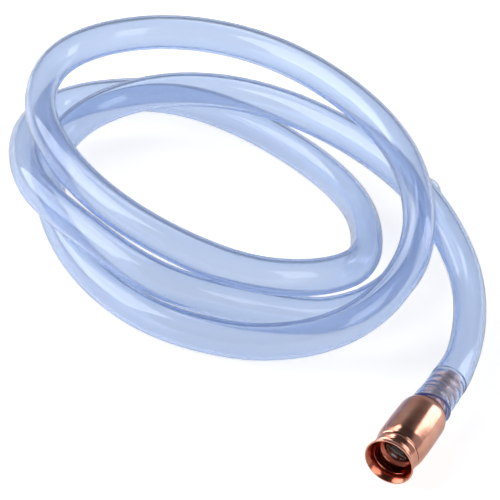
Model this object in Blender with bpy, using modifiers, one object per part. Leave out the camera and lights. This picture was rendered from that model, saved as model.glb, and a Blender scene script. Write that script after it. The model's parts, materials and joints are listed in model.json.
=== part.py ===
"""Shaker siphon: a coiled clear hose with a copper jiggle valve pushed into one end.

Metres, +Z up. The coil lies on z = 0 and the origin is the bottom centre of the whole object.
The valve is turned about its own axis: station 0 is its flared mouth, and stations grow
towards the hose.
"""

import math

import bmesh
import bpy
import numpy as np
from mathutils import Matrix, Vector

MM = 0.001
GAP = 0.3 * MM  # room left between pieces that touch on the real object

# Hose: 12.7 mm bore and 1.6 mm wall, slightly oval wherever it is coiled
HOSE_WALL = 1.6 * MM
COILED_WIDTH = 14.6 * MM
COILED_HEIGHT = 17.2 * MM
ON_TAIL = 16.5 * MM  # round, and stretched by the valve's ribs
ROUNDING_LENGTH = 14 * MM  # over which the oval becomes round, just past the valve's tail
END_FLARE = 1.2 * MM  # where the cut end is pushed onto the valve's shoulder
END_FLARE_LENGTH = 3.4 * MM
HOSE_SIDES = 12
RING_SPACING = 15 * MM
LEAD_LENGTH = 100 * MM  # of the hose from its bending point to the valve

# Centre line of the coiled hose in mm, from its free end, seen from above (x, y) and its height
FIRST_TURN = [
    (82.4, 36, 8), (79, 10, 8), (74, -20, 8), (61, -46, 8), (40, -62, 8), (5, -64, 12),
    (-37, -59, 22.5), (-74.5, -24, 27.1), (-98, 10, 28), (-106, 47, 24), (-104, 82, 17),
    (-87, 114.5, 10), (-50, 124.5, 8), (-5, 101.5, 8), (29, 62.5, 9), (48.8, 19, 13),
]  # fmt: skip
SECOND_TURN = [
    (52.7, -20, 19), (43.5, -54, 26), (12, -67, 31), (-28, -53.3, 36), (-66, -21, 41.7),
    (-89.3, 18, 45), (-98.3, 63, 45), (-87, 102.5, 45), (-51, 122, 45), (-4, 112.5, 45),
    (38.5, 74, 45), (64, 28, 45), (74.4, -18, 44),
]  # fmt: skip
THIRD_TURN = [
    (71, -57, 35), (49, -81.5, 20.5), (8, -85.6, 9.5), (-39, -68, 8), (-71.5, -31.5, 8),
    (-90, 15, 8), (-94.5, 55, 8), (-84.7, 88.5, 13), (-56, 104, 20), (-12, 98, 26),
    (34, 68.7, 27), (65, 31, 27), (84.3, -9, 26), (95.4, -42, 18), (95.5, -80.3, 13.8),
]  # fmt: skip

# Where the valve lies: the centre of its mouth, and how it points
MOUTH = Vector((57.1, -172.7, 11.05)) * MM
VALVE_HEADING = math.radians(27.3)  # of the mouth, from -Y towards -X
VALVE_DIP = math.radians(1.8)  # mouth down on its lip, tail held up by the hose

# Valve stations along its axis, from the mouth
THROAT_RIM = 3.7 * MM
NECK_START = 2.9 * MM
BELL_JOINT = 7.7 * MM
SEAT = 9.9 * MM
SLEEVE_END = 11.2 * MM
CHAMBER_FRONT = 12.9 * MM
BALL_REST = 14.5 * MM
STOP = 30 * MM
CHAMBER_BACK = 31.5 * MM
SHOULDER_END = 39.4 * MM
HOSE_END = 38.5 * MM
TAIL_END = 60 * MM

# Valve radii
LIP = 11.05 * MM
NECK = 9.55 * MM
BEAD = 10.0 * MM
SLEEVE = 9.0 * MM
THROAT = 8.3 * MM
SEAT_OPENING = 6.3 * MM
FRONT = 10.8 * MM
BACK = 10.63 * MM
COPPER = 0.8 * MM
SHOULDER_LENGTH = 10 * MM  # half axis of the ellipse that rounds the back of the chamber
TAIL_MEAN = 6.1 * MM
TAIL_BORE = 5.1 * MM
RIB_DEPTH = 0.25 * MM
RIBS = 4
RIB_PITCH = 4.5 * MM
BALL = 7.5 * MM
STOP_WIRE = 0.6 * MM
TURNING_STEPS = 28

PART = "shaker_siphon"


def clear_scene():
    for obj in list(bpy.data.objects):
        bpy.data.objects.remove(obj)
    for child in list(bpy.context.scene.collection.children):
        bpy.context.scene.collection.children.unlink(child)


def material(name, colour, roughness, metallic=0.0, transmission=0.0):
    made = bpy.data.materials.new(name)
    made.use_nodes = True
    shader = made.node_tree.nodes["Principled BSDF"]
    shader.inputs["Base Color"].default_value = (*colour, 1)
    shader.inputs["Roughness"].default_value = roughness
    shader.inputs["Metallic"].default_value = metallic
    shader.inputs["Transmission Weight"].default_value = transmission
    return made


def add_object(name, data, finish, parent, matrix=None):
    obj = bpy.data.objects.new(name, data)
    bpy.data.collections[PART].objects.link(obj)
    obj.data.materials.append(finish)
    obj.parent = parent
    if matrix is not None:
        obj.matrix_basis = matrix
    return obj


def smoothstep(value):
    value = min(max(value, 0.0), 1.0)
    return value * value * (3 - 2 * value)


# ------------------------------------------------------------------ hose path


def valve_matrix():
    """The valve's own frame: origin at the mouth, +Z from the mouth to the tail."""
    level = Vector((math.sin(VALVE_HEADING), math.cos(VALVE_HEADING), 0))
    along = level * math.cos(VALVE_DIP) + Vector((0, 0, math.sin(VALVE_DIP)))
    side = along.cross(Vector((0, 0, 1))).normalized()
    below = along.cross(side)
    turned = Matrix((side, below, along)).transposed()
    return Matrix.Translation(MOUTH) @ turned.to_4x4()


def spline_slopes(points, spans, end_slope):
    """Slopes of the cubic spline through the points: free at its start, fixed at its end."""
    count = len(points)
    system = np.zeros((count, count))
    target = np.zeros((count, 3))
    rises = np.diff(points, axis=0)
    system[0, :2] = 2, 1
    target[0] = 3 * rises[0] / spans[0]
    for i in range(1, count - 1):
        before, after = spans[i - 1], spans[i]
        system[i, i - 1 : i + 2] = 1 / before, 2 / before + 2 / after, 1 / after
        target[i] = 3 * (rises[i - 1] / before**2 + rises[i] / after**2)
    system[-1, -1] = 1
    target[-1] = end_slope
    return np.linalg.solve(system, target)


def smooth_path(points, end_slope, steps_per_span=24):
    """Closely spaced points along the spline."""
    spans = np.linalg.norm(np.diff(points, axis=0), axis=1)
    slopes = spline_slopes(points, spans, end_slope)
    share = np.linspace(0, 1, steps_per_span, endpoint=False)[:, None]
    path = []
    for i, span in enumerate(spans):
        start, end = points[i], points[i + 1]
        cubic = 2 * share**3 - 3 * share**2
        path.append(
            start * (1 + cubic)
            - end * cubic
            + slopes[i] * span * (share**3 - 2 * share**2 + share)
            + slopes[i + 1] * span * (share**3 - share**2)
        )
    return np.vstack([*path, points[-1:]])


def distances_along(path):
    return np.concatenate([[0], np.cumsum(np.linalg.norm(np.diff(path, axis=0), axis=1))])


def roundness(to_valve_end):
    """0 where the hose is coiled and oval, 1 on the valve's tail, where it is round."""
    tail_length = TAIL_END - HOSE_END
    return 1 - smoothstep((to_valve_end - tail_length) / ROUNDING_LENGTH)


def half_sizes(to_valve_end):
    """Half width and half height of the hose, by the distance left to its valve end."""
    round_share = roundness(to_valve_end)
    swelling = END_FLARE * (1 - smoothstep(to_valve_end / END_FLARE_LENGTH))
    return [
        (coiled + (ON_TAIL - coiled) * round_share) / 2 + swelling
        for coiled in (COILED_WIDTH, COILED_HEIGHT)
    ]


def hose_path(valve):
    """The hose's centre line, lifted wherever it would sink into the ground."""
    tail_end = valve @ Vector((0, 0, TAIL_END))
    hose_end = valve @ Vector((0, 0, HOSE_END))
    laid = np.array(FIRST_TURN + SECOND_TURN + THIRD_TURN) * MM
    end_slope = np.array((hose_end - tail_end).normalized())
    path = smooth_path(np.vstack([laid, tail_end]), end_slope)
    on_tail = np.linspace(tail_end, hose_end, 24)[1:]
    path = np.vstack([path, on_tail])
    left = distances_along(path)[-1] - distances_along(path)
    facet_depth = math.cos(math.pi / HOSE_SIDES)
    for point, remaining in zip(path, left):
        point[2] = max(point[2], half_sizes(remaining)[1] * facet_depth)
    return path


def ring_frame(path, along, distance):
    """Centre, sideways and upward directions of the hose at a distance along its path."""
    reach = 2 * MM
    centre, ahead, behind = (
        Vector([np.interp(distance + offset, along, path[:, axis]) for axis in range(3)])
        for offset in (0, reach, -reach)
    )
    direction = (ahead - behind).normalized()
    side = direction.cross(Vector((0, 0, 1))).normalized()
    return centre, side, side.cross(direction)


# ------------------------------------------------------------------ hose solids


def bend_matrix(path, distance):
    """The bending point's frame: on top of the hose, turning about its own X axis."""
    along = distances_along(path)
    centre, side, up = ring_frame(path, along, distance)
    pivot = centre + up * half_sizes(along[-1] - distance)[1]
    turned = Matrix((side, up.cross(side), up)).transposed()
    return Matrix.Translation(pivot) @ turned.to_4x4()


def loft_tube(rings):
    """A closed tube through the rings, each given as centre, side, up, half width, half height."""
    mesh = bmesh.new()
    skins = []
    for inset in (0, HOSE_WALL):
        skin = []
        for centre, side, up, half_width, half_height in rings:
            loop = []
            for k in range(HOSE_SIDES):
                angle = 2 * math.pi * (k + 0.5) / HOSE_SIDES
                sideways = side * ((half_width - inset) * math.cos(angle))
                upward = up * ((half_height - inset) * math.sin(angle))
                loop.append(mesh.verts.new(centre + sideways + upward))
            skin.append(loop)
        skins.append(skin)
    for outer, inner in ((skins[0][0], skins[1][0]), (skins[0][-1], skins[1][-1])):
        join_loops(mesh, outer, inner)
    for skin in skins:
        for loop, following in zip(skin, skin[1:]):
            join_loops(mesh, loop, following)
    bmesh.ops.recalc_face_normals(mesh, faces=mesh.faces)
    data = bpy.data.meshes.new("hose")
    mesh.to_mesh(data)
    mesh.free()
    data.shade_smooth()
    return data


def join_loops(mesh, first, second):
    for k in range(len(first)):
        following = (k + 1) % len(first)
        mesh.faces.new((first[k], first[following], second[following], second[k]))


def add_hose(name, path, start, end, finish, parent, frame=None):
    """The stretch of hose between two distances along its path, seen from its parent's frame."""
    along = distances_along(path)
    count = max(2, round((end - start) / RING_SPACING) + 1)
    stations = list(np.linspace(start, end, count))
    total = along[-1]
    if end == total:
        tail_length = TAIL_END - HOSE_END
        flaring = [total - END_FLARE_LENGTH * share for share in (1, 0.65, 0.35)]
        rounding = [total - tail_length - ROUNDING_LENGTH * share for share in (1, 0.5, 0)]
        before = [s for s in stations if s < rounding[0] - RING_SPACING / 3]
        halfway = (rounding[-1] + flaring[0]) / 2
        stations = [*before, *rounding, halfway, *flaring, total]
    rings = [
        (*ring_frame(path, along, station), *half_sizes(total - station))
        for station in stations
    ]
    data = loft_tube(rings)
    if frame is not None:
        data.transform(frame.inverted())
    return add_object(name, data, finish, parent)


# ------------------------------------------------------------------ turned valve pieces


def turned_mesh(profile):
    """A closed ring of points (radius, station) in the XZ plane, for a Screw modifier."""
    data = bpy.data.meshes.new("profile")
    points = [(radius, 0, station) for radius, station in profile]
    edges = [(i, (i + 1) % len(points)) for i in range(len(points))]
    data.from_pydata(points, edges, [])
    return data


def add_turned(name, profile, finish, parent):
    obj = add_object(name, turned_mesh(profile), finish, parent)
    screw = obj.modifiers.new("turn", "SCREW")
    screw.axis = "Z"
    screw.angle = 2 * math.pi
    screw.steps = TURNING_STEPS
    screw.render_steps = TURNING_STEPS
    screw.use_merge_vertices = True
    screw.merge_threshold = 0.001 * MM
    screw.use_smooth_shade = True
    return obj


def shoulder(radius, length, last_station, count):
    """Points over the elliptical back shoulder, from its last station to the chamber."""
    stations = np.linspace(last_station, CHAMBER_BACK, count)
    return [
        (radius * math.sqrt(1 - ((z - CHAMBER_BACK) / length) ** 2), z) for z in stations
    ]


def ribbed_tail():
    """The rolled ribs, from the tail's end to the plain collar at its root."""
    points_per_rib = 6
    points = []
    for i in range(RIBS * points_per_rib + 1):
        swell = -math.cos(2 * math.pi * i / points_per_rib)
        station = TAIL_END - 0.5 * MM - RIB_PITCH * i / points_per_rib
        points.append((TAIL_MEAN + RIB_DEPTH * swell, station))
    return points


def valve_body_profile():
    edge = BELL_JOINT + GAP
    outside = [
        (TAIL_MEAN - RIB_DEPTH - 0.25 * MM, TAIL_END),
        *ribbed_tail(),
        (TAIL_MEAN, SHOULDER_END + 1 * MM),
        (TAIL_MEAN + 0.1 * MM, SHOULDER_END + 0.4 * MM),
        *shoulder(BACK, SHOULDER_LENGTH, SHOULDER_END, 8),
        (FRONT, CHAMBER_FRONT),
        (FRONT - 0.09 * MM, CHAMBER_FRONT - 1.3 * MM),
        (FRONT - 0.28 * MM, CHAMBER_FRONT - 2.5 * MM),
        (FRONT - 0.55 * MM, CHAMBER_FRONT - 3.7 * MM),
        (FRONT - 0.8 * MM, edge + 0.25 * MM),
        (FRONT - 0.95 * MM, edge),
    ]
    inside_end = SHOULDER_END - 0.2 * MM
    inside = [
        (SLEEVE + GAP, edge),
        (SLEEVE + GAP, SLEEVE_END),
        (FRONT - COPPER, CHAMBER_FRONT),
        *reversed(shoulder(BACK - COPPER, SHOULDER_LENGTH - COPPER, inside_end, 7)),
        (TAIL_BORE, inside_end + 0.5 * MM),
        (TAIL_BORE, TAIL_END),
    ]
    return outside + inside


def flare(narrow, wide, length, count):
    """Points along a trumpet shape, from its narrow end towards its wide end at the lip."""
    points = []
    for station in np.linspace(length, 0, count, endpoint=False):
        points.append((narrow + (wide - narrow) * (1 - station / length) ** 1.8, station))
    return points


def inlet_bell_profile():
    grooves = []
    for station in (BELL_JOINT - 3.4 * MM, BELL_JOINT - 4.1 * MM):
        grooves += [
            (NECK + 0.05 * MM, station),
            (NECK - 0.12 * MM, station - 0.2 * MM),
            (NECK + 0.05 * MM, station - 0.4 * MM),
        ]
    outside = [
        (SLEEVE, SLEEVE_END),
        (SLEEVE, BELL_JOINT),
        (BEAD - 0.25 * MM, BELL_JOINT),
        (BEAD - 0.05 * MM, BELL_JOINT - 0.35 * MM),
        (BEAD, BELL_JOINT - 1 * MM),
        (BEAD - 0.08 * MM, BELL_JOINT - 1.8 * MM),
        (BEAD - 0.28 * MM, BELL_JOINT - 2.7 * MM),
        *grooves,
        *flare(NECK, LIP, NECK_START, 5),
        (LIP, 0.35 * MM),
        (LIP - 0.08 * MM, 0.1 * MM),
        (LIP - 0.25 * MM, 0),
    ]
    inside = [
        (LIP - 0.65 * MM, 0),
        *reversed(flare(THROAT + 0.2 * MM, LIP - 0.65 * MM, THROAT_RIM, 6)),
        (THROAT + 0.05 * MM, THROAT_RIM + 0.2 * MM),
        (THROAT, THROAT_RIM + 0.5 * MM),
        (THROAT, SEAT - 2 * MM),
        (THROAT - 0.35 * MM, SEAT - 1.2 * MM),
        (SEAT_OPENING + 0.25 * MM, SEAT - 0.35 * MM),
        (SEAT_OPENING, SEAT),
        (SEAT_OPENING + 0.15 * MM, SEAT + 0.35 * MM),
        (THROAT - 0.2 * MM, SEAT + 0.9 * MM),
        (SLEEVE - 0.4 * MM, SLEEVE_END),
    ]
    return outside + inside


def add_ball(finish, parent):
    mesh = bmesh.new()
    bmesh.ops.create_uvsphere(mesh, u_segments=24, v_segments=12, radius=BALL)
    data = bpy.data.meshes.new("check_ball")
    mesh.to_mesh(data)
    mesh.free()
    data.shade_smooth()
    return add_object(
        "check_ball", data, finish, parent, Matrix.Translation((0, 0, BALL_REST))
    )


def add_ball_stop(finish, parent):
    """A springy open ring of wire, with one end bent across the middle to catch the ball."""
    ring = BACK - COPPER - GAP - STOP_WIRE - 0.05 * MM
    opening = math.radians(50)
    arc = np.linspace(2 * math.pi - opening, opening, 22)
    points = [(ring * math.cos(a), ring * math.sin(a)) for a in arc]
    bend_start = Vector(points[-1])
    inwards = -bend_start.normalized()
    reach = 2 * ring - 3 * STOP_WIRE - 0.6 * MM
    points.append(bend_start + inwards * (0.1 * reach) + Vector((0.4 * MM, -0.4 * MM)))
    points += [bend_start + inwards * (share * reach) for share in (0.25, 0.6, 1)]
    curve = bpy.data.curves.new("ball_stop", "CURVE")
    curve.dimensions = "3D"
    curve.bevel_depth = STOP_WIRE
    curve.bevel_resolution = 2
    curve.use_fill_caps = True
    spline = curve.splines.new("POLY")
    spline.points.add(len(points) - 1)
    for point, (x, y) in zip(spline.points, points):
        point.co = (x, y, 0, 1)
    return add_object(
        "ball_stop", curve, finish, parent, Matrix.Translation((0, 0, STOP))
    )


# ------------------------------------------------------------------ assembly


def set_on_origin(root):
    """Moves the whole part so that the bottom centre of its box is the origin."""
    bpy.context.view_layer.update()
    graph = bpy.context.evaluated_depsgraph_get()
    low, high = np.full(3, np.inf), np.full(3, -np.inf)
    for obj in bpy.data.collections[PART].objects:
        if obj.type == "EMPTY":
            continue
        evaluated = obj.evaluated_get(graph)
        mesh = evaluated.to_mesh()
        points = np.array([evaluated.matrix_world @ v.co for v in mesh.vertices])
        low = np.minimum(low, points.min(axis=0))
        high = np.maximum(high, points.max(axis=0))
        evaluated.to_mesh_clear()
    root.location = (-(low[0] + high[0]) / 2, -(low[1] + high[1]) / 2, -low[2])


def add_empty(name, parent=None, matrix=None):
    empty = bpy.data.objects.new(name, None)
    bpy.data.collections[PART].objects.link(empty)
    empty.parent = parent
    if matrix is not None:
        empty.matrix_basis = matrix
    return empty


def build():
    clear_scene()
    bpy.context.scene.collection.children.link(bpy.data.collections.new(PART))
    clear_pvc = material("clear_pvc", (0.68, 0.78, 0.95), 0.12, transmission=0.8)
    copper = material("polished_copper", (0.85, 0.45, 0.32), 0.25, metallic=1.0)
    glass = material("glass", (0.85, 0.92, 0.9), 0.05, transmission=0.9)
    spring_steel = material("spring_steel", (0.6, 0.6, 0.6), 0.35, metallic=1.0)

    root = add_empty("siphon_frame")
    valve = valve_matrix()
    path = hose_path(valve)
    total = distances_along(path)[-1]
    bend = total - LEAD_LENGTH
    add_hose("hose_coil", path, 0, bend - GAP / 2, clear_pvc, root)

    bending = bend_matrix(path, bend)
    lead_frame = add_empty("lead_frame", root, bending)
    add_hose("hose_lead", path, bend + GAP / 2, total, clear_pvc, lead_frame, bending)

    valve_frame = add_empty("valve_frame", lead_frame, bending.inverted() @ valve)
    add_turned("valve_body", valve_body_profile(), copper, valve_frame)
    add_turned("inlet_bell", inlet_bell_profile(), copper, valve_frame)
    add_ball(glass, valve_frame)
    add_ball_stop(spring_steel, valve_frame)
    set_on_origin(root)


build()
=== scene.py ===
import json
import math

import bmesh
import bpy
import numpy as np
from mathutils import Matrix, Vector


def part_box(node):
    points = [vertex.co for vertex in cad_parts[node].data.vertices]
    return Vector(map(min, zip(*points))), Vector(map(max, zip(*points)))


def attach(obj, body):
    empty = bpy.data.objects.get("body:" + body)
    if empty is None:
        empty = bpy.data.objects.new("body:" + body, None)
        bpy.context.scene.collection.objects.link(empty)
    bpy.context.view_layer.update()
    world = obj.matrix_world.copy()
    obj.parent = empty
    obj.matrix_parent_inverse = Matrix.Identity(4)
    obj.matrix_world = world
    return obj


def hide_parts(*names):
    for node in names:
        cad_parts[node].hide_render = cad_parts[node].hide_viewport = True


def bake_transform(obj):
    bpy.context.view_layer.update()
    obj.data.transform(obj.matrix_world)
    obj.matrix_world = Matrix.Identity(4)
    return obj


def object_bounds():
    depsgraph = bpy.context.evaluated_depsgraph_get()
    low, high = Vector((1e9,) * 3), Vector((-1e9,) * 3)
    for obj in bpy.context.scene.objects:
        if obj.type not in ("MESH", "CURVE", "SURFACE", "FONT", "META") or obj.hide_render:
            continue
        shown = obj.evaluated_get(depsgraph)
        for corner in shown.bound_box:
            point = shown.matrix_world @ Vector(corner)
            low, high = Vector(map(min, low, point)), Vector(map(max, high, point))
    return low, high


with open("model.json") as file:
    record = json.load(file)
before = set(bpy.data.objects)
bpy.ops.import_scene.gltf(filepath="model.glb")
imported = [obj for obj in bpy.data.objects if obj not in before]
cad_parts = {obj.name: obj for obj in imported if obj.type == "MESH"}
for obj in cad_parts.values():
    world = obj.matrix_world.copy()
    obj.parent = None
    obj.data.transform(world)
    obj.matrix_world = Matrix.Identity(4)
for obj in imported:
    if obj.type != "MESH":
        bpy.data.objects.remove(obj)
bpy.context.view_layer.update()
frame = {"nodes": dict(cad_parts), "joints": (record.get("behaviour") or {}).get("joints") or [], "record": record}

MM = 0.001

# The hose as it is drawn here
CAD_SIDES = 12  # sides of the CAD hose, whose corners lie on the true oval
HOSE_SIDES = 48
HOSE_STEP = 2.5 * MM
TAIL_STEP = 0.45 * MM
TAIL_ZONE = 40 * MM  # of the hose from its valve end, drawn in the finer steps
WALL = 1.6 * MM
EDGE_ROUND = 0.2 * MM
RIB_GRIP = 0.12 * MM  # left between the bore and the ribs that stretch it
BEND_REACH = 42 * MM  # of hose on each side of the hinge; the two points this far off are worked out but not used
END_ZONE = 20 * MM  # around a cut end, holds the whole cut face but no other turn
END_FLATNESS = 1 * MM

# The turned copper
TURNED_SIDES = 128
SHARP_TURN = math.radians(38)
SMOOTH_STEPS = 4  # pieces into which each stretch of a CAD outline is curved
SAME_COLUMN = 0.999  # least cosine between two points' ways out of the axis
INWARD_GAIN = 1.15  # brings slanting inner faces nearer to the full painted inner shade
INSIDE_RADIUS = 0.7  # of the piece's largest, within which a face towards the mouth is an inner one and gets the painted shade
TURNING_MARKS = 9.0  # in a millimetre

# Camera: the point it looks at, from how high and how far
LOOK_AT = Vector((4.73, 23.0, 0)) * MM
CAMERA_HEIGHT_ANGLE = math.radians(34)
CAMERA_DISTANCE = 1.4
LENS = 218.7  # on a sensor 36 mm wide

FLOOR_REACH = 0.7
FLOOR_GAP = 0.05 * MM  # below the lowest point of the object
# the floor's painted pool of light: full brightness out to the first distance, darker from the second
FLOOR_BRIGHT_TO = 0.34
FLOOR_DARK_FROM = 0.6
FLOOR_FAR = 0.6  # share of its brightness that the floor keeps there
FLOOR_WHITENESS = 0.6
FLOOR_GLOW = 0.75
FLOOR_DIMMED = 0.6  # share of that glow kept out of mirror images
LAMP_DISTANCE = 1.2
WORLD_LOW = 0.55  # heights on a unit sphere between which the surroundings darken
WORLD_HIGH = 0.75
WORLD_COLOUR = (0.93, 0.94, 1.0, 1)
SCATTERED_COLOUR = (0.65, 0.74, 1, 1)
LIGHT_BOUNCES = 48  # enough for light to cross the walls of several turns of hose


# ------------------------------------------------------------------ reading the frame


def joint(name):
    return next(j for j in frame["joints"] if j["name"] == name)


def mount(name):
    return next(m for m in frame["record"]["mounts"] if m["name"] == name)


def welded(node):
    mesh = bmesh.new()
    mesh.from_mesh(frame["nodes"][node].data)
    bmesh.ops.remove_doubles(mesh, verts=mesh.verts, dist=1e-6)
    mesh.verts.index_update()
    mesh.verts.ensure_lookup_table()
    return mesh


def rings_from(node, face_centre, face_normal):
    """Corner points of the CAD hose ring by ring, outer and inner together, from one cut end."""
    mesh = welded(node)
    near = [v for v in mesh.verts if (v.co - face_centre).length < END_ZONE]
    layer = [v for v in near if abs((v.co - face_centre).dot(face_normal)) < END_FLATNESS]
    seen, rings = set(layer), []
    while layer:
        rings.append(np.array([v.co for v in layer]))
        beyond = {e.other_vert(v) for v in layer for e in v.link_edges} - seen
        layer = sorted(beyond, key=lambda v: v.index)
        seen.update(layer)
    mesh.free()
    return rings


def unit(rows):
    return rows / np.linalg.norm(rows, axis=1, keepdims=True)


class HosePath:
    """Centre line and half sizes of the CAD hose, from its free end to the valve."""

    def __init__(self):
        outlet = mount("outlet_end")
        coil = rings_from("hose_coil", Vector(outlet["pos_m"]), Vector(outlet["axis"]))
        last, before = coil[-1].mean(axis=0), coil[-2].mean(axis=0)
        lead = rings_from("hose_lead", Vector(last), Vector(last - before).normalized())
        rings = coil[:-1] + lead
        self.centres = np.array([ring.mean(axis=0) for ring in rings])
        spans = np.linalg.norm(np.diff(self.centres, axis=0), axis=1)
        self.at = np.concatenate([[0], np.cumsum(spans)])
        self.length = self.at[-1]
        self.bend = self.at[len(coil) - 1]
        self.slopes = np.gradient(self.centres, self.at, axis=0, edge_order=2)
        sides, ups = self.crosswise(self.slopes)
        corner = math.cos(math.pi / CAD_SIDES)
        self.half_sizes = np.array(
            [
                [np.abs((ring - centre) @ way).max() / corner for way in (side, up)]
                for ring, centre, side, up in zip(rings, self.centres, sides, ups)
            ]
        )

    @staticmethod
    def crosswise(directions):
        """Level and upright directions across the hose."""
        sides = unit(np.cross(directions, (0, 0, 1)))
        return sides, unit(np.cross(sides, directions))

    def sample(self, distances):
        """Points on the centre line and the directions along it, by cubic pieces."""
        i = np.clip(np.searchsorted(self.at, distances) - 1, 0, len(self.at) - 2)
        span = (self.at[i + 1] - self.at[i])[:, None]
        t = (distances - self.at[i])[:, None] / span
        start, end = self.centres[i], self.centres[i + 1]
        leave, arrive = self.slopes[i] * span, self.slopes[i + 1] * span
        points = (
            start * (2 * t**3 - 3 * t**2 + 1)
            + end * (3 * t**2 - 2 * t**3)
            + leave * (t**3 - 2 * t**2 + t)
            + arrive * (t**3 - t**2)
        )
        directions = (
            (end - start) * (6 * t - 6 * t**2)
            + leave * (3 * t**2 - 4 * t + 1)
            + arrive * (3 * t**2 - 2 * t)
        )
        return points, unit(directions)

    def half_sizes_at(self, distances):
        return np.array(
            [np.interp(distances, self.at, self.half_sizes[:, k]) for k in (0, 1)]
        ).T


# The valve's axis runs through the ball, from the mouth towards the hose.
ball_low, ball_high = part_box("check_ball")
BALL_CENTRE = (ball_low + ball_high) / 2
BALL_RADIUS = (ball_high.z - ball_low.z) / 2
VALVE_AXIS = Vector(joint("ball_travel")["axis"]).normalized()


def along_and_out(point):
    """Station of a point along the valve's axis, from the ball, and its offset from the axis."""
    offset = point - BALL_CENTRE
    station = offset.dot(VALVE_AXIS)
    return station, offset - VALVE_AXIS * station


def outline_of(node):
    """The closed outline (radius, station) from which a CAD node was turned."""
    mesh = welded(node)
    away = along_and_out(mesh.verts[0].co)[1].normalized()
    column = {
        v
        for v in mesh.verts
        if along_and_out(v.co)[1].normalized().dot(away) > SAME_COLUMN
    }
    vertex, outline = mesh.verts[0], []
    while vertex is not None:
        column.discard(vertex)
        station, offset = along_and_out(vertex.co)
        outline.append((offset.length, station))
        onward = (e.other_vert(vertex) for e in vertex.link_edges)
        vertex = next((v for v in onward if v in column), None)
    mesh.free()
    return np.array(outline)


def smooth_outline(outline):
    """The same outline with its gentle stretches made curves and its sharp corners kept."""
    count = len(outline)
    arriving = outline - np.roll(outline, 1, axis=0)
    leaving = np.roll(outline, -1, axis=0) - outline
    cosine = (unit(arriving) * unit(leaving)).sum(axis=1)
    sharp = np.arccos(np.clip(cosine, -1, 1)) > SHARP_TURN
    points = []
    for i in range(count):
        j = (i + 1) % count
        step = np.linalg.norm(leaving[i])
        ways = []
        for k, own in ((i, leaving[i]), (j, arriving[j])):
            both = unit(arriving[k : k + 1])[0] + unit(leaving[k : k + 1])[0]
            ways.append(own if sharp[k] else both / np.linalg.norm(both) * step)
        t = np.linspace(0, 1, SMOOTH_STEPS, endpoint=False)[:, None]
        points.append(
            outline[i] * (2 * t**3 - 3 * t**2 + 1)
            + outline[j] * (3 * t**2 - 2 * t**3)
            + ways[0] * (t**3 - 2 * t**2 + t)
            + ways[1] * (t**3 - t**2)
        )
    return np.vstack(points)


# ------------------------------------------------------------------ building meshes


def add_mesh(name, points, faces, material):
    """A mesh that looks smooth except across its sharp turns."""
    data = bpy.data.meshes.new(name)
    data.from_pydata(points.tolist(), [], faces)
    data.update()
    data.materials.append(material)
    data.shade_smooth()
    data.set_sharp_from_angle(angle=SHARP_TURN)
    obj = bpy.data.objects.new(name, data)
    bpy.context.scene.collection.objects.link(obj)
    return obj


def lattice_faces(loops, sides):
    """Quads that join each loop of points to the next, and the last one back to the first."""
    faces = []
    for i in range(loops):
        here, there = i * sides, (i + 1) % loops * sides
        for k in range(sides):
            m = (k + 1) % sides
            faces.append((here + k, here + m, there + m, there + k))
    return faces


def add_float(obj, name, values):
    attribute = obj.data.attributes.new(name, "FLOAT", "POINT")
    attribute.data.foreach_set("value", np.asarray(values, np.float32))


def add_turned(node, material, hose_end):
    """A fine copy of a turned CAD node. It carries what its material asks about each point."""
    outline = smooth_outline(outline_of(node))
    side = VALVE_AXIS.cross(Vector((0, 0, 1))).normalized()
    top = side.cross(VALVE_AXIS)
    angles = np.arange(TURNED_SIDES) * 2 * math.pi / TURNED_SIDES
    out = np.outer(np.cos(angles), side) + np.outer(np.sin(angles), top)
    points = np.vstack(
        [
            np.array(BALL_CENTRE) + station * np.array(VALVE_AXIS) + radius * out
            for radius, station in outline
        ]
    )
    faces = lattice_faces(len(outline), TURNED_SIDES)
    obj = add_mesh(node + "_fine", points, faces, material)
    make_outward(obj)
    stations = np.repeat(outline[:, 1] / MM, TURNED_SIDES)
    add_float(obj, "station_mm", stations)
    # weight of the painted shade and reflection on the copper's inner faces
    add_float(obj, "inward_shade", np.repeat(facing_inward(outline), TURNED_SIDES))
    # where the copper is painted paler under the hose (painted light) and made rougher
    add_float(obj, "gripped", np.repeat(outline[:, 1] > hose_end, TURNED_SIDES))
    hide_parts(node)
    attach(obj, "lead")
    return outline


def facing_inward(outline):
    """How much each point of an outline is inside: it faces the axis, or the mouth from within. This weighs the
    copper's painted inner shade.
    """
    ahead, behind = np.roll(outline, -1, axis=0), np.roll(outline, 1, axis=0)
    area = (outline[:, 0] * ahead[:, 1] - ahead[:, 0] * outline[:, 1]).sum()
    way = unit(ahead - behind) * math.copysign(1, area)
    within = outline[:, 0] < INSIDE_RADIUS * outline[:, 0].max()
    to_axis = np.clip(-INWARD_GAIN * way[:, 1], 0, 1)
    to_mouth = np.clip(way[:, 0], 0, 1)
    return np.clip(to_axis + to_mouth * within, 0, 1)


def make_outward(obj):
    mesh = bmesh.new()
    mesh.from_mesh(obj.data)
    bmesh.ops.recalc_face_normals(mesh, faces=mesh.faces)
    mesh.to_mesh(obj.data)
    mesh.free()


def tail_radius(outline, stations):
    """Outer radius of the valve's body at stations along its axis, 0 where there is none."""
    found = np.zeros(len(stations))
    following = np.roll(outline, -1, axis=0)
    for (r0, z0), (r1, z1) in zip(outline, following):
        if abs(z1 - z0) < 1e-9:
            continue
        share = (stations - z0) / (z1 - z0)
        inside = (share >= 0) & (share <= 1)
        found = np.where(inside, np.maximum(found, r0 + share * (r1 - r0)), found)
    return found


def hose_stations(path):
    coarse = np.arange(EDGE_ROUND, path.length - TAIL_ZONE, HOSE_STEP)
    fine = np.arange(path.length - TAIL_ZONE, path.length - EDGE_ROUND, TAIL_STEP)
    return np.concatenate([coarse, fine, [path.length - EDGE_ROUND]])


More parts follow.
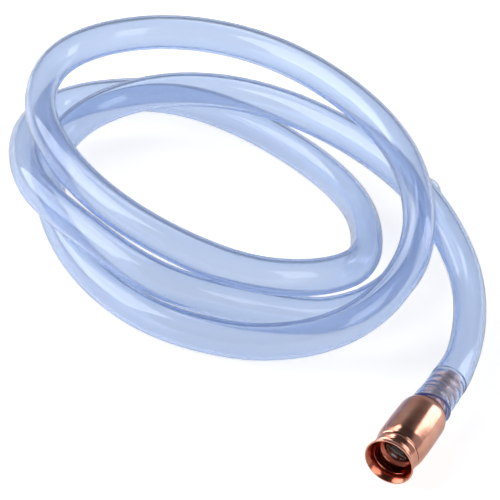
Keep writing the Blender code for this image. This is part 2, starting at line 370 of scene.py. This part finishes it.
def add_hose(path, body_outline, material, cut_material):
    """One continuous hose in place of the two CAD nodes, stretched over the valve's ribs."""
    stations = hose_stations(path)
    halves = path.half_sizes_at(stations)
    centres, _ = path.sample(stations)
    on_axis = (centres - np.array(BALL_CENTRE)) @ np.array(VALVE_AXIS)
    over_tail = stations > path.length - TAIL_ZONE
    ribs = tail_radius(body_outline, on_axis) * over_tail
    tail_bore = halves[:, 0] - WALL
    follows = np.where(ribs > 0, (ribs + RIB_GRIP + tail_bore) / 2, tail_bore)
    halves += (follows - tail_bore)[:, None]

    ends = [0, path.length]
    end_halves = path.half_sizes_at(np.array(ends))
    skins = []
    for inset in (0, WALL):
        rounding = EDGE_ROUND if inset == 0 else -EDGE_ROUND
        all_stations = np.concatenate([ends[:1], stations, ends[1:]])
        all_halves = np.vstack(
            [end_halves[:1] - inset - rounding, halves - inset, end_halves[1:] - inset - rounding]
        )
        skins.append((all_stations, all_halves))
    skins[1] = tuple(values[::-1] for values in skins[1])

    angles = (np.arange(HOSE_SIDES) + 0.5) * 2 * math.pi / HOSE_SIDES
    loops, at = [], []
    for skin_stations, skin_halves in skins:
        centres, directions = path.sample(skin_stations)
        sides, ups = path.crosswise(directions)
        for centre, side, up, (wide, high) in zip(centres, sides, ups, skin_halves):
            across = np.outer(np.cos(angles) * wide, side)
            loops.append(centre + across + np.outer(np.sin(angles) * high, up))
        at.append(skin_stations)
    at = np.concatenate(at)
    faces = lattice_faces(len(loops), HOSE_SIDES)
    obj = add_mesh("hose", np.vstack(loops), faces, material)
    obj.data.materials.append(cut_material)
    cut_loops = (len(loops) // 2 - 1, len(loops) - 1)
    slots = np.zeros(len(faces), np.int32)
    for loop in cut_loops:
        slots[loop * HOSE_SIDES : (loop + 1) * HOSE_SIDES] = 1
    obj.data.polygons.foreach_set("material_index", slots)
    make_outward(obj)
    add_float(obj, "along_mm", np.repeat(at / MM, HOSE_SIDES))

    bend_from = path.bend - BEND_REACH
    start, end = (Vector(p) for p in path.sample(np.array([bend_from, path.bend + BEND_REACH]))[0])
    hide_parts("hose_coil", "hose_lead")
    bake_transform(obj)


def add_ball(material):
    mesh = bmesh.new()
    bmesh.ops.create_icosphere(mesh, subdivisions=5, radius=BALL_RADIUS)
    data = bpy.data.meshes.new("check_ball_fine")
    mesh.to_mesh(data)
    mesh.free()
    data.materials.append(material)
    data.shade_smooth()
    obj = bpy.data.objects.new("check_ball_fine", data)
    obj.location = BALL_CENTRE
    bpy.context.scene.collection.objects.link(obj)
    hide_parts("check_ball")
    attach(obj, "ball")


# ------------------------------------------------------------------ materials


class Nodes:
    """A material's node tree, with short calls to add nodes and links."""

    def __init__(self, name):
        self.material = bpy.data.materials.new(name)
        self.material.use_nodes = True
        self.tree = self.material.node_tree
        self.tree.nodes.clear()
        self.output = self.add("ShaderNodeOutputMaterial")

    def add(self, kind, **inputs):
        node = self.tree.nodes.new(kind)
        for name, value in inputs.items():
            self.set(node.inputs[name.replace("_", " ")], value)
        return node

    def set(self, socket, value):
        if isinstance(value, bpy.types.NodeSocket):
            self.tree.links.new(value, socket)
        else:
            socket.default_value = value

    def maths(self, operation, first, second):
        node = self.add("ShaderNodeMath")
        node.operation = operation
        self.set(node.inputs[0], first)
        self.set(node.inputs[1], second)
        return node.outputs[0]

    def attribute(self, name):
        node = self.add("ShaderNodeAttribute")
        node.attribute_name = name
        return node.outputs["Fac"]

    def ramp(self, factor, *stops):
        node = self.add("ShaderNodeValToRGB", Fac=factor)
        elements = node.color_ramp.elements
        while len(elements) < len(stops):
            elements.new(0.5)
        for element, (position, colour) in zip(elements, stops):
            element.position = position
            element.color = (*colour, 1)
        return node.outputs["Color"]

    def blended(self, factor, first, second):
        node = self.add("ShaderNodeMix")
        node.data_type = "RGBA"
        self.set(node.inputs["Factor"], factor)
        colours = [socket for socket in node.inputs if socket.type == "RGBA"]
        self.set(colours[0], first)
        self.set(colours[1], second)
        return next(socket for socket in node.outputs if socket.type == "RGBA")

    def noise(self, scale, detail):
        node = self.add("ShaderNodeTexNoise", Scale=scale, Detail=detail)
        self.set(node.inputs["Vector"], self.add("ShaderNodeTexCoord").outputs["Object"])
        return node.outputs["Fac"]

    def spread(self, factor, low, high):
        node = self.add("ShaderNodeMapRange", Value=factor)
        self.set(node.inputs["To Min"], low)
        self.set(node.inputs["To Max"], high)
        return node.outputs[0]

    def bump(self, height, strength, distance):
        node = self.add("ShaderNodeBump", Height=height, Strength=strength, Distance=distance)
        return node.outputs["Normal"]


def clear_plastic(name, colour, clearness, tint, density, glow, roughness, waviness):
    """Clear or slightly milky material whose colour deepens with its thickness.

    The glow stands for the light that cloudy plastic scatters towards the viewer.
    """
    nodes = Nodes(name)
    glass = nodes.add(
        "ShaderNodeBsdfPrincipled",
        Base_Color=(*colour, 1),
        Roughness=nodes.spread(nodes.noise(220, 3), roughness * 0.7, roughness * 1.3),
        IOR=1.5,
        Transmission_Weight=clearness,
        Emission_Color=SCATTERED_COLOUR,
        Emission_Strength=glow,
        Normal=nodes.bump(nodes.noise(60, 2), waviness, 0.3 * MM),
    )
    nodes.set(nodes.output.inputs["Surface"], glass.outputs[0])
    absorb = nodes.add("ShaderNodeVolumeAbsorption", Color=(*tint, 1), Density=density)
    nodes.set(nodes.output.inputs["Volume"], absorb.outputs[0])
    nodes.material.cycles.emission_sampling = "NONE"
    return nodes.material


def copper():
    """Bright copper, painted darker and redder on its inner faces as painted shade and reflection, and painted
    paler (painted light) and rougher under the hose.
    """
    nodes = Nodes("polished_copper")
    station = nodes.attribute("station_mm")
    turning = nodes.add("ShaderNodeTexNoise", Scale=1.0, Detail=3.0)
    turning.noise_dimensions = "1D"
    nodes.set(turning.inputs["W"], nodes.maths("MULTIPLY", station, TURNING_MARKS))
    cloudy = nodes.noise(140, 4)
    outer = nodes.ramp(cloudy, (0.3, (0.84, 0.37, 0.26)), (0.7, (0.94, 0.51, 0.38)))
    # painted shade and reflection: the inner faces get this darker, redder colour
    inner = nodes.ramp(cloudy, (0.3, (0.42, 0.10, 0.06)), (0.7, (0.55, 0.17, 0.10)))
    gripped = nodes.attribute("gripped")
    # painted light: under the hose the copper is painted paler, standing in for light the hose scatters over it
    colour = nodes.blended(gripped, outer, (1.0, 0.62, 0.52, 1))
    colour = nodes.blended(nodes.attribute("inward_shade"), colour, inner)
    polish = nodes.spread(nodes.noise(400, 3), 0.10, 0.24)
    shader = nodes.add(
        "ShaderNodeBsdfPrincipled",
        Base_Color=colour,
        Metallic=1.0,
        Roughness=nodes.maths("ADD", polish, nodes.maths("MULTIPLY", gripped, 0.25)),
        Normal=nodes.bump(turning.outputs["Fac"], 0.25, 0.02 * MM),
    )
    nodes.set(nodes.output.inputs["Surface"], shader.outputs[0])
    return nodes.material


def steel():
    nodes = Nodes("spring_steel")
    cloudy = nodes.noise(300, 3)
    colour = nodes.ramp(cloudy, (0.3, (0.42, 0.42, 0.43)), (0.7, (0.6, 0.6, 0.6)))
    shader = nodes.add(
        "ShaderNodeBsdfPrincipled",
        Base_Color=colour,
        Metallic=1.0,
        Roughness=nodes.spread(nodes.noise(900, 2), 0.2, 0.4),
    )
    nodes.set(nodes.output.inputs["Surface"], shader.outputs[0])
    return nodes.material


def floor_material():
    """White, lit from within like a light table, with a painted pool of light: its colour and glow are painted a
    little darker beyond the picture.
    """
    nodes = Nodes("floor_white")
    place = nodes.add("ShaderNodeNewGeometry").outputs["Position"]
    away = nodes.add("ShaderNodeVectorMath")
    away.operation = "LENGTH"
    nodes.set(away.inputs[0], place)
    # painted light: the floor's colour and glow fall off away from the middle, a painted pool of light
    painted_light_falloff = nodes.add("ShaderNodeMapRange", Value=away.outputs["Value"])
    painted_light_falloff.interpolation_type = "SMOOTHSTEP"
    nodes.set(painted_light_falloff.inputs["From Min"], FLOOR_BRIGHT_TO)
    nodes.set(painted_light_falloff.inputs["From Max"], FLOOR_DARK_FROM)
    nodes.set(painted_light_falloff.inputs["To Min"], 1.0)
    nodes.set(painted_light_falloff.inputs["To Max"], FLOOR_FAR)
    white = nodes.maths("MULTIPLY", painted_light_falloff.outputs[0], FLOOR_WHITENESS)
    shader = nodes.add("ShaderNodeBsdfPrincipled", Roughness=0.6)
    shade = nodes.add("ShaderNodeCombineColor", Red=white, Green=white, Blue=white)
    nodes.set(shader.inputs["Base Color"], shade.outputs[0])
    shader.inputs["Emission Color"].default_value = (1, 1, 1, 1)
    ray = nodes.add("ShaderNodeLightPath").outputs
    through = nodes.maths("SUBTRACT", 1.0, ray["Is Transmission Ray"])
    mirrored = nodes.maths("MULTIPLY", ray["Is Glossy Ray"], through)
    kept = nodes.maths("SUBTRACT", 1.0, nodes.maths("MULTIPLY", mirrored, FLOOR_DIMMED))
    glow = nodes.maths("MULTIPLY", nodes.maths("MULTIPLY", painted_light_falloff.outputs[0], FLOOR_GLOW), kept)
    nodes.set(shader.inputs["Emission Strength"], glow)
    nodes.set(nodes.output.inputs["Surface"], shader.outputs[0])
    return nodes.material


# ------------------------------------------------------------------ studio


def add_floor(height):
    mesh = bmesh.new()
    bmesh.ops.create_grid(mesh, x_segments=1, y_segments=1, size=FLOOR_REACH)
    data = bpy.data.meshes.new("floor")
    mesh.to_mesh(data)
    mesh.free()
    data.materials.append(floor_material())
    floor = bpy.data.objects.new("floor", data)
    floor.location = (0, 0, height)
    bpy.context.scene.collection.objects.link(floor)


def add_softbox(name, turn, lift, size, radiance):
    """A lamp panel, seen from the object at a turn right of straight back and a lift above level."""
    turn, lift = math.radians(turn), math.radians(lift)
    way = Vector((math.sin(turn), math.cos(turn), 0)) * math.cos(lift)
    way.z = math.sin(lift)
    data = bpy.data.lights.new(name, "AREA")
    data.shape = "RECTANGLE"
    data.size, data.size_y = size
    data.energy = radiance * math.pi * size[0] * size[1]
    lamp = bpy.data.objects.new(name, data)
    lamp.location = LOOK_AT + way * LAMP_DISTANCE
    lamp.rotation_euler = (-way).to_track_quat("-Z", "Y").to_euler()
    bpy.context.scene.collection.objects.link(lamp)


def set_world(horizon, zenith):
    """Grey all round, and darker overhead."""
    world = bpy.data.worlds.new("studio")
    world.use_nodes = True
    tree = world.node_tree
    background = tree.nodes["Background"]
    direction = tree.nodes.new("ShaderNodeTexCoord").outputs["Generated"]
    parts = tree.nodes.new("ShaderNodeSeparateXYZ")
    tree.links.new(direction, parts.inputs[0])
    lift = tree.nodes.new("ShaderNodeMapRange")
    lift.inputs["From Min"].default_value = WORLD_LOW
    lift.inputs["From Max"].default_value = WORLD_HIGH
    lift.inputs["To Min"].default_value = horizon
    lift.inputs["To Max"].default_value = zenith
    tree.links.new(parts.outputs["Z"], lift.inputs["Value"])
    tree.links.new(lift.outputs[0], background.inputs["Strength"])
    background.inputs["Color"].default_value = WORLD_COLOUR
    bpy.context.scene.world = world


def add_camera():
    data = bpy.data.cameras.new("camera")
    data.sensor_width = 36
    data.lens = LENS
    camera = bpy.data.objects.new("camera", data)
    back = Vector((0, -math.cos(CAMERA_HEIGHT_ANGLE), math.sin(CAMERA_HEIGHT_ANGLE)))
    camera.location = LOOK_AT + back * CAMERA_DISTANCE
    camera.rotation_euler = (-back).to_track_quat("-Z", "Y").to_euler()
    bpy.context.scene.collection.objects.link(camera)
    bpy.context.scene.camera = camera


def build():
    copper_finish = copper()
    vinyl = ((0.915, 0.925, 0.94), 0.94, (0.0, 0.38, 0.93), 135, 0.022)
    clear = clear_plastic("clear_pvc", *vinyl, 0.1, 0.3)
    cut = clear_plastic("pvc_cut_face", *vinyl, 0.3, 0.3)
    glass = clear_plastic("ball_glass", (0.95, 0.97, 0.96), 1, (0.7, 0.95, 0.9), 30, 0, 0.01, 0.05)

    path = HosePath()
    hose_end = along_and_out(Vector(path.centres[-1]))[0]
    body_outline = add_turned("valve_body", copper_finish, hose_end)
    add_turned("inlet_bell", copper_finish, hose_end)
    add_hose(path, body_outline, clear, cut)
    add_ball(glass)
    stop = frame["nodes"]["ball_stop"]
    stop.material_slots[0].material = steel()

    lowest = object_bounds()[0].z
    add_floor(lowest - FLOOR_GAP)
    add_softbox("left_panel", -75, 33, (1.3, 1.0), 3.0)
    add_softbox("top_panel", -20, 58, (0.4, 0.4), 2.5)
    add_softbox("right_panel", 70, 14, (0.38, 1.0), 2.5)
    add_softbox("front_panel", 152, 32, (0.6, 0.8), 2.0)
    set_world(0.35, 0.05)
    add_camera()
    scene = bpy.context.scene
    scene.view_settings.view_transform = "Standard"
    scene.cycles.max_bounces = LIGHT_BOUNCES
    scene.cycles.transmission_bounces = LIGHT_BOUNCES


build()
